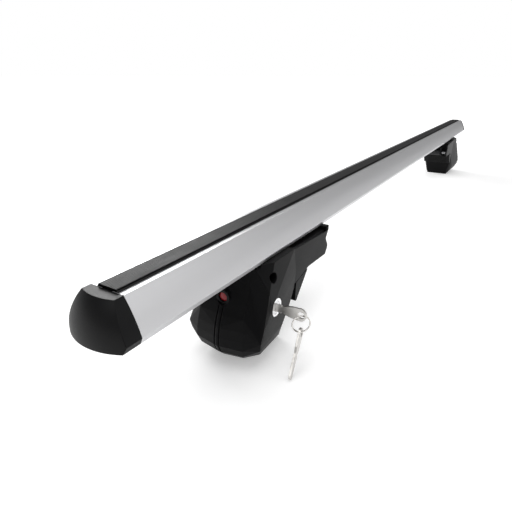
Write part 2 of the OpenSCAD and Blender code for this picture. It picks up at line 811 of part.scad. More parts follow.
// A flat key with its hole at the origin and its blade along X
module key() {
    tip = key_hole_l + blade_l;
    cuts = 4;
    pitch = (blade_l - 5) / cuts;
    neck_x = key_hole_l - 1;
    linear_extrude(height = key_t, center = true) difference() {
        union() {
            translate([head_r - key_hole_d / 2 - 1.5, 0]) circle(r = head_r);
            polygon([
                [1, -head_r + 0.2], [neck_x * 0.4, -head_r + 0.4], [neck_x * 0.72, -head_r + 1.3],
                [neck_x, -blade_w / 2 + 0.9], [key_hole_l, -blade_w / 2 + 0.9], [key_hole_l, -blade_w / 2],
                [tip - 2, -blade_w / 2], [tip, -0.5], [tip, 0.8], [tip - 1.6, blade_w / 2],
                [key_hole_l, blade_w / 2], [key_hole_l, blade_w / 2 - 0.9], [neck_x, blade_w / 2 - 0.9],
                [neck_x * 0.72, head_r - 1.3], [neck_x * 0.4, head_r - 0.4], [1, head_r - 0.2]
            ]);
        }
        circle(d = key_hole_d);
        for (i = [0:cuts - 1]) translate([key_hole_l + 2 + (i + 0.5) * pitch, blade_w / 2])
            circle(d = 1.4 + 0.7 * (i % 2), $fn = 4);
    }
}

module lock_key() {
    color("lightgray")
    translate([lock_x, hole_y, -lock_z]) rotate([90, 0, 90]) key();
}

module key_ring() {
    color("lightgray")
    translate([lock_x, hole_y, ring_top - ring_r]) rotate([90, 0, 90 + ring_turn])
        rotate_extrude() translate([ring_r, 0]) circle(d = ring_wire);
}

module spare_key() {
    color("lightgray")
    translate([lock_x, hole_y, ring_low]) rotate([0, 0, spare_turn])
        rotate([0, 90 + spare_lean, 0]) rotate([90, 0, 0]) translate([ring_drop, 0, 0]) key();
}

bar_profile();
load_strip();
end_cap();  // end_cap_left
rotate([0, 0, 180]) end_cap();  // end_cap_right
on_left() foot_body();  // foot_body_left
on_right() foot_body();  // foot_body_right
on_left() cover();  // cover_left
on_right() cover();  // cover_right
on_left() red_button();  // red_button_left
on_right() red_button();  // red_button_right
on_left() saddle_pad();  // saddle_pad_left
on_right() saddle_pad();  // saddle_pad_right
on_left() slot_nut();  // slot_nut_left
on_right() slot_nut();  // slot_nut_right
on_left() slot_bolt();  // slot_bolt_left
on_right() slot_bolt();  // slot_bolt_right
on_left() bolt_washer();  // bolt_washer_left
on_right() bolt_washer();  // bolt_washer_right
on_left() clamp_nut();  // clamp_nut_left
on_right() clamp_nut();  // clamp_nut_right
on_left() clamp_screw();  // clamp_screw_left
on_right() clamp_screw();  // clamp_screw_right
on_left() thrust_pad();  // thrust_pad_left
on_right() thrust_pad();  // thrust_pad_right
on_left() jaw();  // jaw_left
on_right() jaw();  // jaw_right
on_left() jaw_grip();  // jaw_grip_left
on_right() jaw_grip();  // jaw_grip_right
on_left() jaw_pin();  // jaw_pin_left
on_right() jaw_pin();  // jaw_pin_right
on_left() rail_pads();  // rail_pads_left
on_right() rail_pads();  // rail_pads_right
on_left() claw();  // claw_left
on_right() claw();  // claw_right
on_left() claw_grip();  // claw_grip_left
on_right() claw_grip();  // claw_grip_right
on_left() claw_pin();  // claw_pin_left
on_right() claw_pin();  // claw_pin_right
on_left() lock_barrel();  // lock_barrel_left
on_right() lock_barrel();  // lock_barrel_right
on_left() lock_plug();  // lock_plug_left
on_right() lock_plug();  // lock_plug_right
on_left() lock_cam();  // lock_cam_left
on_right() lock_cam();  // lock_cam_right
on_left() lock_key();
on_left() key_ring();
on_left() spare_key();
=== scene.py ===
"""Looks of a roof rack crossbar on two clamping feet: finishes, detail pieces, floor, light and camera.

Everything is in metres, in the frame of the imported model: X along the bar, Z up, and the
origin in the middle of the load strip's top face. The left foot is the one with the keys.
"""

from __future__ import annotations

import logging
import math
from dataclasses import dataclass, field
from enum import Enum
from typing import Any, Callable, ClassVar, Mapping, Protocol, Sequence

import bmesh
import bpy
from mathutils import Matrix, Vector

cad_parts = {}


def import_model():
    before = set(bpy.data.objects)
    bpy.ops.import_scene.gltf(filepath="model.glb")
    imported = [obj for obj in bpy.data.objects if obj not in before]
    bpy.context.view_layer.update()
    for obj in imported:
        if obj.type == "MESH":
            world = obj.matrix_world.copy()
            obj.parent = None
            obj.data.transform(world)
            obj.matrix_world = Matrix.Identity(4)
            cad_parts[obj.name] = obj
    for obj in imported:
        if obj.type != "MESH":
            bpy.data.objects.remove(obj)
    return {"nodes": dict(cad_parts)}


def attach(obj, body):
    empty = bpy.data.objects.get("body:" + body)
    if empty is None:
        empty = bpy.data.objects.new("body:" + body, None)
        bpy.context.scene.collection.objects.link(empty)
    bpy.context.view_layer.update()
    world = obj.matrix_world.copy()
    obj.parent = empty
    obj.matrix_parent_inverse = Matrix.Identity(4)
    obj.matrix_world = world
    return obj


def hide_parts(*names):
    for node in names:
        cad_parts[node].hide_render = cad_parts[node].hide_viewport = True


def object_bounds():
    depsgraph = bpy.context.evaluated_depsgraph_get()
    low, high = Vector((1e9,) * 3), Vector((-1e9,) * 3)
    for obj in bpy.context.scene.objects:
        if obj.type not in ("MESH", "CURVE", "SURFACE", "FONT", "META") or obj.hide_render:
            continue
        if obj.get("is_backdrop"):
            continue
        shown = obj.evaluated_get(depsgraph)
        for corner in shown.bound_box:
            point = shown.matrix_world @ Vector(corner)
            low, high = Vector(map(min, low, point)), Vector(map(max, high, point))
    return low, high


log = logging.getLogger("crossbar")

Colour = tuple[float, float, float]
Place = tuple[float, float, float]
MM = 0.001


class Side(Enum):
    """The two ends of the bar, each with its sign along X."""

    LEFT = -1
    RIGHT = 1

    @property
    def tag(self) -> str:
        """Ending of the names of this side's nodes and bodies."""
        return self.name.lower()

    def spot(self, x: float, y: float, z: float) -> Vector:
        """Turns a place on a foot into a place on the bar.

        Args:
            x: millimetres from the foot's clamp line towards the bar's middle.
            y: millimetres across the bar, away from the lock.
            z: millimetres above the bar's underside.

        Returns:
            The place in metres.
        """
        sign = -self.value
        along = self.value * Foot.clamp_line + sign * x * MM
        return Vector((along, sign * y * MM, Foot.underside + z * MM))


class Sum(Enum):
    """Operations of the Math node that the finishes use."""

    ADD = "ADD"
    SUBTRACT = "SUBTRACT"
    MULTIPLY = "MULTIPLY"
    MAXIMUM = "MAXIMUM"
    MINIMUM = "MINIMUM"


@dataclass(frozen=True)
class Value:
    """A number that varies over a surface: one output socket, with arithmetic."""

    book: "NodeBook"
    socket: bpy.types.NodeSocket

    def _sum(self, kind: Sum, *terms: Any) -> "Value":
        """Adds one Math node over the terms."""
        return self.book.node("ShaderNodeMath", {"operation": kind.value}, dict(enumerate(terms)))

    def __add__(self, other: Any) -> "Value":
        """Sum."""
        return self._sum(Sum.ADD, self, other)

    __radd__ = __add__

    def __sub__(self, other: Any) -> "Value":
        """Difference."""
        return self._sum(Sum.SUBTRACT, self, other)

    def __rsub__(self, other: Any) -> "Value":
        """Difference with this value taken away."""
        return self._sum(Sum.SUBTRACT, other, self)

    def __mul__(self, other: Any) -> "Value":
        """Product."""
        return self._sum(Sum.MULTIPLY, self, other)

    __rmul__ = __mul__

    def at_most(self, other: Any) -> "Value":
        """The smaller of the two."""
        return self._sum(Sum.MINIMUM, self, other)

    def at_least(self, other: Any) -> "Value":
        """The larger of the two."""
        return self._sum(Sum.MAXIMUM, self, other)

    def step(self, low: float, high: float) -> "Value":
        """Rises smoothly from 0 at low to 1 at high.

        Args:
            low: value that gives 0.
            high: value that gives 1; it may be the smaller one.

        Returns:
            The eased value.
        """
        return self.book.node(
            "ShaderNodeMapRange",
            {"interpolation_type": "SMOOTHSTEP", "clamp": True},
            {"Value": self, "From Min": low, "From Max": high},
        )


class NodeBook:
    """Makes the nodes of one material and hands back their outputs."""

    def __init__(self, name: str) -> None:
        """Starts an empty material.

        Args:
            name: name of the material.
        """
        self.material = bpy.data.materials.new(name)
        self.material.use_nodes = True
        self.tree = self.material.node_tree
        self.tree.nodes.clear()

    def node(self, kind: str, settings: Mapping[str, Any] | None = None,
             inputs: Mapping[Any, Any] | None = None, out: int | str = 0) -> Value:
        """Adds a node.

        Args:
            kind: Blender's type name.
            settings: properties that are set before the sockets.
            inputs: values, vectors, or outputs of other nodes, by socket name or number.
            out: the output that is wanted.

        Returns:
            That output, wrapped.
        """
        made = self.tree.nodes.new(kind)
        for name, value in (settings or {}).items():
            setattr(made, name, value)
        for name, value in (inputs or {}).items():
            socket = made.inputs[name]
            if isinstance(value, Value):
                self.tree.links.new(value.socket, socket)
            elif isinstance(value, tuple) and socket.type == "RGBA" and len(value) == 3:
                socket.default_value = (*value, 1.0)
            else:
                socket.default_value = value
        return Value(self, made.outputs[out])

    def place(self, stretch: Colour = (1.0, 1.0, 1.0)) -> Value:
        """Coordinates on the object, in metres, scaled axis by axis.

        Args:
            stretch: factor along X, Y and Z.

        Returns:
            The vector output.
        """
        spot = self.node("ShaderNodeTexCoord", out="Object")
        return self.node("ShaderNodeVectorMath", {"operation": "MULTIPLY"}, {0: spot, 1: stretch})

    def noise(self, scale: float, detail: float = 2.0, rough: float = 0.5,
              stretch: Colour = (1.0, 1.0, 1.0)) -> Value:
        """Soft noise from 0 to 1.

        Args:
            scale: features per metre.
            detail: octaves.
            rough: share of the fine octaves.
            stretch: factor on the coordinates along X, Y and Z.

        Returns:
            The noise.
        """
        return self.node("ShaderNodeTexNoise", None,
                         {"Vector": self.place(stretch), "Scale": scale,
                          "Detail": detail, "Roughness": rough})

    def cells(self, scale: float) -> Value:
        """Distance to the nearest of scattered points, for pores and grain."""
        return self.node("ShaderNodeTexVoronoi", {"feature": "F1"},
                         {"Vector": self.place(), "Scale": scale})

    def mix(self, amount: Any, first: Any, second: Any) -> Value:
        """Mixes two colours.

        Args:
            amount: share of the second one.
            first: colour at 0.
            second: colour at 1.

        Returns:
            The mixed colour.
        """
        return self.node("ShaderNodeMix", {"data_type": "RGBA"},
                         {0: amount, 6: first, 7: second}, out=2)

    def edges(self, radius: float) -> tuple[Value, Value]:
        """Rounds edges in the shading and finds them.

        Args:
            radius: radius of the rounding, in metres.

        Returns:
            The rounded normal, and a mask that is 1 on edges.
        """
        soft = self.node("ShaderNodeBevel", {"samples": 6}, {"Radius": radius})
        flat = self.node("ShaderNodeNewGeometry", out="Normal")
        same = self.node("ShaderNodeVectorMath", {"operation": "DOT_PRODUCT"},
                         {0: soft, 1: flat}, out="Value")
        return soft, same.step(0.995, 0.88)

    def bump(self, height: Value, depth: float, normal: Value | None = None) -> Value:
        """Raises the surface.

        Args:
            height: relief from 0 to 1.
            depth: its height in metres.
            normal: the normal that it starts from.

        Returns:
            The normal.
        """
        links: dict[str, Any] = {"Height": height, "Distance": depth, "Strength": 1.0}
        if normal is not None:
            links["Normal"] = normal
        return self.node("ShaderNodeBump", None, links)

    def slope(self, normal: Value) -> Value:
        """Height part of a normal without its sign: 1 on level faces, 0 on upright ones."""
        height = self.node("ShaderNodeVectorMath", {"operation": "DOT_PRODUCT"},
                           {0: normal, 1: (0.0, 0.0, 1.0)}, out="Value")
        return self.node("ShaderNodeMath", {"operation": "ABSOLUTE"}, {0: height})

    def shader(self, **sockets: Any) -> Value:
        """Adds a Principled shader, with its sockets' blanks written as underscores."""
        named = {name.replace("_", " "): value for name, value in sockets.items()}
        return self.node("ShaderNodeBsdfPrincipled", None, named)

    def blend(self, amount: Value, first: Value, second: Value) -> Value:
        """Mixes two shaders.

        Args:
            amount: share of the second one.
            first: shader at 0.
            second: shader at 1.

        Returns:
            The mixed shader.
        """
        return self.node("ShaderNodeMixShader", None, {0: amount, 1: first, 2: second})

    def end(self, shader: Value) -> bpy.types.Material:
        """Ends the material with a shader and hands it back."""
        end = self.tree.nodes.new("ShaderNodeOutputMaterial")
        self.tree.links.new(shader.socket, end.inputs["Surface"])
        return self.material

    def finish(self, **sockets: Any) -> bpy.types.Material:
        """Ends the material with one Principled shader over the given sockets."""
        return self.end(self.shader(**sockets))


def shade(colour: Colour, factor: float, lift: float = 0.0) -> Colour:
    """A colour made lighter or darker.

    Args:
        colour: the colour.
        factor: factor on each channel.
        lift: amount added to each channel.

    Returns:
        The new colour.
    """
    red, green, blue = (min(1.0, part * factor + lift) for part in colour)
    return red, green, blue


@dataclass(frozen=True)
class AnodisedAluminium:
    """Satin anodised extrusion, drawn along X, with die lines and faint clouding."""

    name: str = "anodised_aluminium"
    tint: Colour = (0.66, 0.66, 0.672)
    roughness: float = 0.46

    def make(self) -> bpy.types.Material:
        """Builds the material."""
        book = NodeBook(self.name)
        lines = book.noise(900.0, 2.0, 0.6, (0.004, 1.0, 1.0))
        fine = book.noise(4200.0, 1.0, 0.5, (0.01, 1.0, 1.0))
        cloud = book.noise(9.0, 3.0, 0.55, (0.5, 1.0, 1.0))
        grain = book.noise(2600.0, 2.0, 0.7)
        normal, edge = book.edges(0.0004)
        tone = cloud * 0.10 + lines * 0.10 + fine * 0.05 + grain * 0.06
        colour = book.mix((tone * 3.2).at_most(1.0), shade(self.tint, 0.93), shade(self.tint, 1.05))
        colour = book.mix(edge * 0.4, colour, shade(self.tint, 1.10))
        rough = self.roughness + (lines - 0.5) * 0.14 + (grain - 0.5) * 0.10 + edge * -0.06
        relief = lines * 0.6 + fine * 0.4
        return book.finish(Base_Color=colour, Metallic=1.0, Roughness=rough,
                           Normal=book.bump(relief, 0.00001, normal))


@dataclass(frozen=True)
class MouldedPlastic:
    """Black moulded plastic with an eroded grain, faint sheen changes, edges rubbed paler, and painted
    shade on upright edges where crease is set.
    """

    name: str
    tint: Colour = (0.004, 0.004, 0.0044)
    roughness: float = 0.42
    sheen: float = 0.11
    grain: float = 1500.0
    depth: float = 0.00003
    round: float = 0.0006
    rub: float = 0.5
    crease: float = 0.0

    def make(self) -> bpy.types.Material:
        """Builds the material."""
        book = NodeBook(self.name)
        pores = book.cells(self.grain)
        mottle = book.noise(self.grain * 0.5, 3.0, 0.6)
        cloud = book.noise(26.0, 3.0, 0.5)
        dust = book.noise(420.0, 4.0, 0.7).step(0.62, 0.80)
        normal, edge = book.edges(self.round)
        worn = edge * book.noise(240.0, 3.0, 0.65).step(0.30, 0.62)
        colour = book.mix(cloud * 0.5, self.tint, shade(self.tint, 1.5))
        colour = book.mix(worn * self.rub, colour, shade(self.tint, 2.0, 0.008))
        colour = book.mix(dust * 0.10, colour, (0.06, 0.06, 0.06))
        rough = (self.roughness + (cloud - 0.5) * 0.14 + (mottle - 0.5) * 0.10
                 - worn * 0.06 + dust * 0.10)
        relief = pores * 0.6 + mottle * 0.4
        bumped = book.bump(relief, self.depth, normal)
        glossy = book.shader(Base_Color=colour, Roughness=rough,
                             Specular_IOR_Level=self.sheen, Normal=bumped)
        if self.crease == 0.0:
            return book.end(glossy)
        # Upright edges are painted black, a painted shade that stands for the dark line at the crease
        # between the cap's front and side
        painted_crease_shade = book.shader(Base_Color=(0.001, 0.001, 0.001), Roughness=0.9, Specular_IOR_Level=0.0)
        upright = book.slope(normal).step(0.45, 0.25)
        return book.end(book.blend(edge * upright * self.crease, glossy, painted_crease_shade))


@dataclass(frozen=True)
class MouldedRubber:
    """Matt rubber with a bloom of fine dust and small scuffs, a painted highlight on its edges and
    painted shade on its upright walls.
    """

    name: str
    tint: Colour = (0.010, 0.010, 0.010)
    roughness: float = 0.66
    sheen: float = 0.15
    along: bool = False

    def make(self) -> bpy.types.Material:
        """Builds the material."""
        book = NodeBook(self.name)
        stretch = (0.05, 1.0, 1.0) if self.along else (1.0, 1.0, 1.0)
        drawn = book.noise(1400.0, 3.0, 0.6, stretch)
        speck = book.noise(3200.0, 2.0, 0.6)
        bloom = book.noise(34.0, 4.0, 0.6).step(0.35, 0.75)
        normal, edge = book.edges(0.0004)
        colour = book.mix(bloom * 0.35, self.tint, shade(self.tint, 2.0, 0.004))
        # Edges are painted lighter, a painted highlight along them
        colour = book.mix(edge * 0.4, colour, shade(self.tint, 1.0, 0.04))
        rough = self.roughness + (drawn - 0.5) * 0.18 + (speck - 0.5) * 0.12 + bloom * 0.06
        bumped = book.bump(drawn * 0.7 + speck * 0.3, 0.00005, normal)
        worn = book.shader(Base_Color=colour, Roughness=rough,
                           Specular_IOR_Level=self.sheen, Normal=bumped)
        # Upright walls take a painted shade: a colour darker than the rubber's, with a rough, matt
        # surface; what lies level keeps the rubber's sheen
        painted_shade_wall = book.shader(Base_Color=shade(self.tint, 0.35), Roughness=0.85,
                           Specular_IOR_Level=0.05, Normal=bumped)
        level = book.slope(normal).step(0.35, 0.75)
        return book.end(book.blend(level, painted_shade_wall, worn))


@dataclass(frozen=True)
class GlossRed:
    """Clear deep red of a pressed button, with a swirl left by moulding."""

    name: str = "button_red"
    tint: Colour = (0.30, 0.006, 0.012)

    def make(self) -> bpy.types.Material:
        """Builds the material."""
        book = NodeBook(self.name)
        swirl = book.noise(320.0, 3.0, 0.5)
        scuff = book.noise(2200.0, 3.0, 0.7)
        normal, edge = book.edges(0.0006)
        colour = book.mix(swirl, shade(self.tint, 0.7), self.tint)
        colour = book.mix(edge * 0.3, colour, shade(self.tint, 1.2, 0.02))
        return book.finish(Base_Color=colour, Roughness=0.30 + (scuff - 0.5) * 0.2,
                           Specular_IOR_Level=0.3, Coat_Weight=0.1,
                           Normal=book.bump(scuff, 0.00001, normal))


@dataclass(frozen=True)
class PlatedMetal:
    """Plated or polished metal with hairline scratches and rubbed edges."""

    name: str
    tint: Colour
    roughness: float = 0.25
    lines: float = 0.12
    stretch: Colour = (1.0, 1.0, 1.0)
    tarnish: Colour = (0.30, 0.28, 0.25)
    tarnished: float = 0.25
    rubbed: Colour = (0.9, 0.9, 0.9)

    def make(self) -> bpy.types.Material:
        """Builds the material."""
        book = NodeBook(self.name)
        hair = book.noise(2600.0, 4.0, 0.75, self.stretch)
        haze = book.noise(210.0, 4.0, 0.6)
        spots = haze.step(0.52, 0.80)
        normal, edge = book.edges(0.0003)
        colour = book.mix(spots * self.tarnished, self.tint, self.tarnish)
        colour = book.mix(edge * 0.4, colour, self.rubbed)
        rough = (self.roughness + (hair - 0.5) * self.lines * 2.0 + spots * 0.12).at_least(0.04)
        return book.finish(Base_Color=colour, Metallic=1.0, Roughness=rough,
                           Normal=book.bump(hair, 0.00001, normal))


@dataclass(frozen=True)
class PowderCoat:
    """Black powder coat on steel, with orange peel and bright nicks on the edges."""

    name: str = "powder_coat"
    tint: Colour = (0.010, 0.010, 0.011)

    def make(self) -> bpy.types.Material:
        """Builds the material."""
        book = NodeBook(self.name)
        peel = book.noise(900.0, 2.0, 0.4)
        nick = book.noise(380.0, 4.0, 0.7).step(0.60, 0.68)
        normal, edge = book.edges(0.0005)
        bare = edge * nick
        colour = book.mix(bare, self.tint, (0.22, 0.21, 0.20))
        return book.finish(Base_Color=colour, Metallic=bare, Roughness=0.44 + (peel - 0.5) * 0.2,
                           Specular_IOR_Level=0.3, Normal=book.bump(peel, 0.00004, normal))


class Finish(Protocol):
    """Anything that makes a material."""

    def make(self) -> bpy.types.Material:
        """Builds the material."""


@dataclass
class Finishes:
    """Every finish of the part, made once and handed out by the record's slot."""

    made: dict[str, bpy.types.Material] = field(default_factory=dict)

    def build(self) -> None:
        """Makes the materials."""
        black_zinc = (0.035, 0.035, 0.038)
        nickel = (0.66, 0.645, 0.62)
        kinds: dict[str, Finish] = {
            "aluminium_bar": AnodisedAluminium(),
            "strip_rubber": MouldedRubber("strip_rubber", (0.010, 0.010, 0.0105), 0.50, 0.16, True),
            # The cap takes the painted crease shade on its upright edges
            "cap_plastic": MouldedPlastic("cap_plastic", roughness=0.44, sheen=0.14, grain=1300.0,
                                          depth=0.00004, crease=1.0),
            "foot_plastic": MouldedPlastic("foot_plastic", roughness=0.46),
            "cover_plastic": MouldedPlastic("cover_plastic", (0.003, 0.003, 0.0034), 0.42, 0.09,
                                            grain=1700.0),
            "button_plastic": GlossRed(),
            "pad_rubber": MouldedRubber("pad_rubber"),
            "zinc_steel": PlatedMetal("zinc_steel", black_zinc, 0.42, tarnish=(0.03, 0.03, 0.03),
                                      rubbed=(0.25, 0.25, 0.26)),
            "claw_steel": PowderCoat(),
            "pin_steel": PlatedMetal("pin_steel", (0.30, 0.30, 0.31), 0.34),
            "brass_pad": PlatedMetal("brass_pad", (0.10, 0.065, 0.025), 0.55,
                                     rubbed=(0.2, 0.14, 0.06)),
            "lock_chrome": PlatedMetal("lock_chrome", (0.88, 0.88, 0.89), 0.16, 0.05, tarnished=0.06),
            "lock_steel": PlatedMetal("lock_steel", (0.72, 0.72, 0.73), 0.24, 0.08, tarnished=0.12),
            "key_metal": PlatedMetal("key_metal", nickel, 0.36, 0.10, (1.0, 0.2, 1.0),
                                     tarnished=0.3),
            "ring_wire": PlatedMetal("ring_wire", shade(nickel, 1.08), 0.18, 0.06, tarnished=0.12),
        }
        for slot, kind in kinds.items():
            self.made[slot] = kind.make()
            log.info("finish %s", slot)

    def wear(self, thing: bpy.types.Object, slot: str) -> None:
        """Gives an object the finish of a slot.

        Args:
            thing: the object.
            slot: the record's material slot.
        """
        thing.data.materials.clear()
        thing.data.materials.append(self.made[slot])


class Workshop:
    """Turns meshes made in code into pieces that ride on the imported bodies."""

    # Faces that meet at more than this angle, in degrees, show an edge
    crisp: ClassVar[float] = 32.0

    def __init__(self, finishes: Finishes) -> None:
        """Keeps the finishes.

        Args:
            finishes: the part's finishes.
        """
        self.finishes = finishes

    def piece(self, name: str, shape: bmesh.types.BMesh, body: str, slot: str,
              stands_for: str | None = None) -> bpy.types.Object:
        """Makes a piece of a mesh.

        Args:
            name: name of the piece.
            shape: its mesh, which is used up.
            body: the body that it rides on.
            slot: the record's material slot that it takes its finish from.
            stands_for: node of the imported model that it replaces.

        Returns:
            The piece.
        """
        bmesh.ops.recalc_face_normals(shape, faces=shape.faces)
        mesh = bpy.data.meshes.new(name)
        shape.to_mesh(mesh)
        shape.free()
        for face in mesh.polygons:
            face.use_smooth = True
        mesh.set_sharp_from_angle(angle=math.radians(self.crisp))
        made = bpy.data.objects.new(name, mesh)
        bpy.context.scene.collection.objects.link(made)
        self.finishes.wear(made, slot)
        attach(made, body)
        if stands_for is not None:
            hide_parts(stands_for)
        log.info("piece %s rides on %s, %d faces", name, body, len(mesh.polygons))
        return made


def sweep(spine: Sequence[Vector], ring: Callable[[int], Sequence[Vector]],
          closed: bool = False) -> bmesh.types.BMesh:
    """Joins rings of points along a spine into a tube.

    Args:
        spine: middles of the rings.
        ring: gives the points of one ring, counted from its middle.
        closed: whether the last ring joins the first.

    Returns:
        The mesh, with its ends closed where it is open.
    """
    shape = bmesh.new()
    rings = [[shape.verts.new(middle + off) for off in ring(index)]
             for index, middle in enumerate(spine)]
    pairs = list(zip(rings, rings[1:])) + ([(rings[-1], rings[0])] if closed else [])
    for first, second in pairs:
        count = len(first)
        for k in range(count):
            shape.faces.new((first[k], first[(k + 1) % count], second[(k + 1) % count], second[k]))
    if not closed:
        shape.faces.new(rings[0])
        shape.faces.new(rings[-1])
    return shape


@dataclass(frozen=True)
class ScrewThread:
    """A thread's ridge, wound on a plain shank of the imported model."""

    radius: float
    start: float
    end: float
    pitch: float
    rise: float
    root: float
    sink: float = 0.12
    steps: int = 20

    def mesh(self, at: Callable[[float, float, float], Vector]) -> bmesh.types.BMesh:
        """Winds the ridge.

        Args:
            at: turns a length along the screw and two offsets across it, in millimetres, into a place.

        Returns:
            The mesh.
        """
        turns = (self.end - self.start) / self.pitch
        count = round(turns * self.steps)
        half = self.root / 2.0

        def row(index: int) -> list[Vector]:
            """The three corners of the ridge at one step."""
            angle = 2.0 * math.pi * index / self.steps
            along = self.start + self.pitch * index / self.steps
            # The ridge rises out of the shank at its first turn and runs out at its last
            rise = self.rise * min(1.0, index / self.steps, (count - index) / self.steps)
            foot = self.radius - self.sink
            corners = ((along - half, foot), (along, self.radius + rise), (along + half, foot))
            return [at(a, r * math.cos(angle), r * math.sin(angle)) for a, r in corners]

        return sweep([Vector((0.0, 0.0, 0.0))] * (count + 1), row)


@dataclass
class Bar:
    """The extruded bar with its rubber strip and its two end caps, in millimetres.

    The strip's width, inset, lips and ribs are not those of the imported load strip, which is
    14.8 wide, 2 short of each end of the bar, and plain. Its heights, stem and barb are.
    """

    shop: Workshop
    nodes: Mapping[str, bpy.types.Object]
    length: float = 1172.0
    strip_inset: float = 0.3
    strip_h: float = 1.8
    strip_w: float = 15.6
    lip_w: float = 18.4
    lip_h: float = 0.45
    stem_w: float = 8.6
    stem_h: float = 2.2
    barb_w: float = 12.7
    barb_h: float = 2.0
    ribs: int = 9
    rib_h: float = 0.12
    rib_band: float = 0.94
    rib_flat: float = 0.34
    bevel: float = 0.25
    bevel_drop: float = 0.05
    side_drop: float = 0.35
    waist: float = 0.1
    fillet: float = 0.3
    lip_bevel: float = 0.3
    lip_edge: float = 0.24
    lip_foot: float = 0.04
    lip_under: float = 0.2
    hover: float = 0.01
    barb_drop: float = 0.1
    end_step: float = 0.2

    def dress(self) -> None:
        """Gives the bar, the strip and the caps their finishes."""
        for name, slot in (("bar_profile", "aluminium_bar"), ("load_strip", "strip_rubber"),
                           ("end_cap_left", "cap_plastic"), ("end_cap_right", "cap_plastic")):
            self.shop.finishes.wear(self.nodes[name], slot)
            log.info("dressed %s", name)

    def strip_section(self) -> list[tuple[float, float]]:
        """Right half of the strip's section, from the top's middle down to the barb's middle.

        Returns:
            Places across and above, in millimetres.
        """
        half = self.strip_w / 2.0
        lip = self.lip_w / 2.0
        pitch = self.strip_w * self.rib_band / self.ribs
        top: list[tuple[float, float]] = []
        for k in range(self.ribs // 2 + 1):
            middle = k * pitch
            for across, drop in ((-0.5, self.rib_h), (-self.rib_flat, 0.0),
                                 (self.rib_flat, 0.0), (0.5, self.rib_h)):
                if middle + across * pitch > 0.0:
                    top.append((middle + across * pitch, -drop))
        edge = [
            (half - self.bevel, -self.bevel_drop), (half, -self.side_drop),
            (half - self.waist, self.lip_h - self.strip_h + self.fillet),
            (half + self.bevel, self.lip_h - self.strip_h),
            (lip - self.lip_bevel, self.lip_edge - self.strip_h),
            (lip, self.lip_foot - self.strip_h), (lip - self.lip_under, self.hover - self.strip_h),
        ]
        low = -self.strip_h - self.stem_h
        stem_half = self.stem_w / 2.0
        stem = [
            (stem_half, self.hover - self.strip_h), (stem_half, low),
            (self.barb_w / 2.0, low - self.barb_drop), (stem_half, low - self.barb_h),
        ]
        return [(0.0, 0.0)] + top + edge + stem + [(0.0, low - self.barb_h)]

    def strip(self) -> None:
        """Extrudes the strip with ribs along its top and lips on the bar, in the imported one's place."""
        half = self.strip_section()
        outline = half + [(-across, above) for across, above in reversed(half[1:-1])]
        reach = self.length / 2.0 - self.strip_inset
        ring = [Vector((0.0, across * MM, above * MM)) for across, above in outline]
        stations = (-reach, -reach + self.end_step, reach - self.end_step, reach)
        spine = [Vector((along * MM, 0.0, 0.0)) for along in stations]
        shape = sweep(spine, lambda _: ring)
        self.shop.piece("ribbed_load_strip", shape, "bar", "strip_rubber", "load_strip")

    def build(self) -> None:
        """Dresses the bar and adds its strip."""
        self.dress()
        self.strip()


@dataclass
class Foot:
    """One clamping foot: body, cover, jaw, claw and the screws between them, in millimetres."""

    side: Side
    shop: Workshop
    nodes: Mapping[str, bpy.types.Object]
    screw_z: float = -46.0
    screw_r: float = 4.0
    screw_from: float = -7.3
    screw_to: float = 18.5
    pitch: float = 1.25
    ridge: float = 0.35
    ridge_w: float = 1.0

    clamp_line: ClassVar[float] = 0.430
    underside: ClassVar[float] = -0.0301
    slots: ClassVar[dict[str, str]] = {
        "foot_body": "foot_plastic", "cover": "cover_plastic", "red_button": "button_plastic",
        "saddle_pad": "pad_rubber", "slot_nut": "zinc_steel", "slot_bolt": "zinc_steel",
        "bolt_washer": "zinc_steel", "clamp_nut": "zinc_steel", "clamp_screw": "zinc_steel",
        "thrust_pad": "brass_pad", "jaw": "foot_plastic", "jaw_grip": "pad_rubber",
        "jaw_pin": "pin_steel", "rail_pads": "pad_rubber", "claw": "claw_steel",
        "claw_grip": "pad_rubber", "claw_pin": "pin_steel",
        "lock_barrel": "lock_chrome", "lock_plug": "lock_steel", "lock_cam": "zinc_steel",
    }

    def dress(self) -> None:
        """Gives every node of this foot its finish."""
        for kind, slot in self.slots.items():
            self.shop.finishes.wear(self.nodes[f"{kind}_{self.side.tag}"], slot)
        log.info("dressed the %s foot", self.side.tag)

    def threads(self) -> None:
        """Winds the thread of the clamp screw."""
        clamp = ScrewThread(self.screw_r, self.screw_from, self.screw_to,
                            self.pitch, self.ridge, self.ridge_w)
        shape = clamp.mesh(lambda a, b, c: self.side.spot(a, b, self.screw_z + c))
        self.shop.piece(f"clamp_screw_thread_{self.side.tag}", shape,
                        f"screw_{self.side.tag}", "zinc_steel")

    def build(self) -> None:
        """Dresses the foot and adds its detail."""
        self.dress()
        self.threads()


